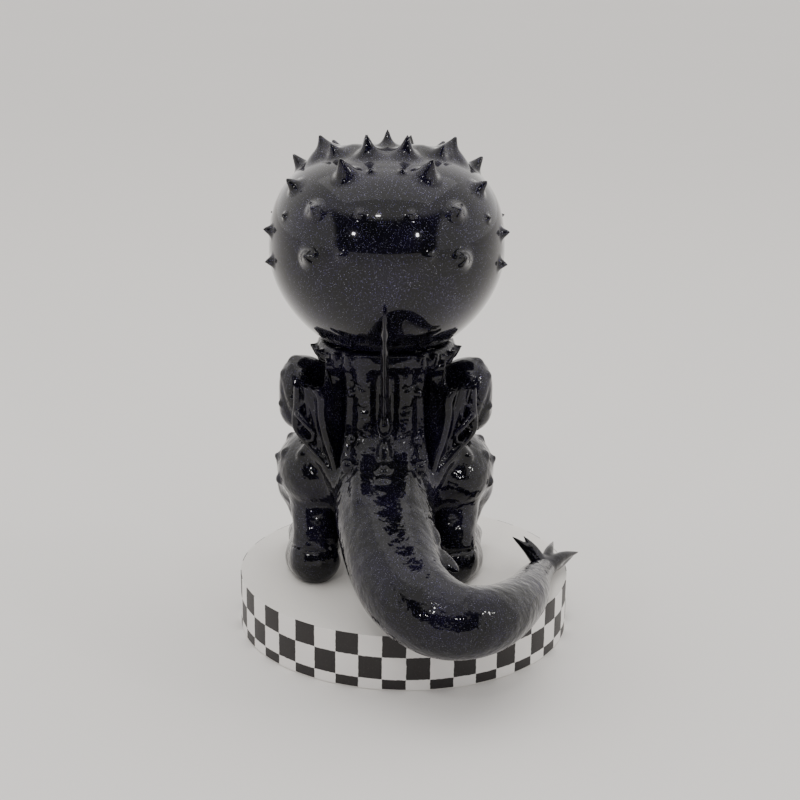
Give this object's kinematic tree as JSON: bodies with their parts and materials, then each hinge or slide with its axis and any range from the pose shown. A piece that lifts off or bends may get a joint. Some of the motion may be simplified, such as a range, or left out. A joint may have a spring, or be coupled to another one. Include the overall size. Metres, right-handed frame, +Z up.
{
  "type": "horned creature art toy",
  "caption": "Glossy black big-headed horned creature figurine with small wings and a curled tail, turning head and arms, on a round checkered display base.",
  "frame": {"origin": "centre of the display base's underside", "axes": "+Z up, the creature faces -Y, its tail curls towards -X"},
  "size_m": [0.0938, 0.1109, 0.1367],
  "materials": {
    "black_gloss_vinyl": "piano black with fine glitter under a thick clear coat",
    "eye_gloss": "polished dark ball",
    "peg_plastic": "turned or moulded, unpainted",
    "painted_wood": "matte warm white paint with a fine tooth",
    "printed_tape": "satin film printed with black and white squares",
    "screw_steel": "zinc plated"
  },
  "bodies": {
    "figure": {"plinth_disc": "painted_wood", "checker_tape": "printed_tape", "base_screws": "screw_steel", "torso_shell": "black_gloss_vinyl", "neck_peg": "peg_plastic", "neck_retainer": "peg_plastic", "dorsal_fin": "black_gloss_vinyl", "tail_shell": "black_gloss_vinyl", "tail_plug": "peg_plastic", "tail_tip_spikes": "black_gloss_vinyl", "leg_left": "black_gloss_vinyl", "foot_block_left": "peg_plastic", "hip_plug_left": "peg_plastic", "wing_left": "black_gloss_vinyl", "leg_right": "black_gloss_vinyl", "foot_block_right": "peg_plastic", "hip_plug_right": "peg_plastic", "wing_right": "black_gloss_vinyl"},
    "head": {"head_shell": "black_gloss_vinyl", "head_bearing_plate": "peg_plastic", "eye_left": "eye_gloss", "eye_right": "eye_gloss"},
    "arm_left_body": {"arm_left": "black_gloss_vinyl", "arm_peg_left": "peg_plastic", "arm_clip_left": "peg_plastic"},
    "arm_right_body": {"arm_right": "black_gloss_vinyl", "arm_peg_right": "peg_plastic", "arm_clip_right": "peg_plastic"}
  },
  "joints": [
    {"name": "head_swivel", "type": "hinge", "parent": "figure", "child": "head", "pos_m": [0.0054, 0, 0.082], "axis": [0, 0, 1], "continuous": true},
    {"name": "arm_left_swing", "type": "hinge", "parent": "figure", "child": "arm_left_body", "pos_m": [0.0197, -0.0015, 0.067], "axis": [-1, 0, 0], "range_deg": [0, 70]},
    {"name": "arm_right_swing", "type": "hinge", "parent": "figure", "child": "arm_right_body", "pos_m": [-0.0089, -0.0015, 0.067], "axis": [-1, 0, 0], "range_deg": [0, 70]}
  ]
}
